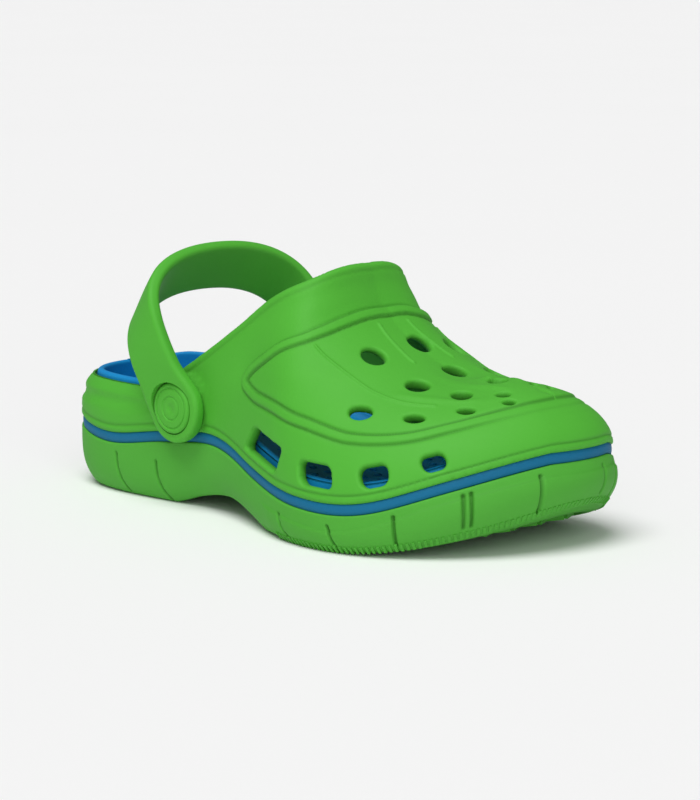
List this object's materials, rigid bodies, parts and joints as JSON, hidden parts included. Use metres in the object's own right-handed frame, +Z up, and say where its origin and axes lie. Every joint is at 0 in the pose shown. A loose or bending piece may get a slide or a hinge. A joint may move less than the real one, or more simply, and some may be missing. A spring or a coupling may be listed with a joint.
{
  "type": "garden clog",
  "caption": "Child's right-foot foam garden clog with a vented toe box, contrasting midsole stripe and footbed, and a heel strap that swings on two rivets.",
  "frame": {"origin": "on the ground under the middle of the plan", "axes": "+X to the toe, +Y to the inner side of the foot, +Z up"},
  "size_m": [0.193, 0.0869, 0.0792],
  "materials": {
    "upper_green": "satin moulded foam, fine skin grain",
    "outsole_green": "satin moulded foam, fine skin grain",
    "strap_green": "satin moulded foam",
    "rivet_green": "satin moulded plastic",
    "midsole_blue": "satin moulded foam",
    "footbed_blue": "matte moulded foam, stippled"
  },
  "bodies": {
    "clog": {"outsole": "outsole_green", "midsole": "midsole_blue", "footbed": "footbed_blue", "upper": "upper_green"},
    "strap": {"heel_strap": "strap_green"},
    "lateral_rivet": {"rivet_cap_lateral": "rivet_green", "rivet_socket_lateral": "rivet_green"},
    "medial_rivet": {"rivet_cap_medial": "rivet_green", "rivet_socket_medial": "rivet_green"}
  },
  "joints": [
    {"name": "strap_swing", "type": "hinge", "parent": "clog", "child": "strap", "pos_m": [-0.02895, 0, 0.0317], "axis": [0, 1, 0], "range_deg": [-40, 50]},
    {"name": "lateral_rivet_spin", "type": "hinge", "parent": "clog", "child": "lateral_rivet", "pos_m": [-0.02895, -0.03, 0.0317], "axis": [0, 1, 0], "continuous": true},
    {"name": "medial_rivet_spin", "type": "hinge", "parent": "clog", "child": "medial_rivet", "pos_m": [-0.02895, 0.03, 0.0317], "axis": [0, 1, 0], "continuous": true}
  ]
}
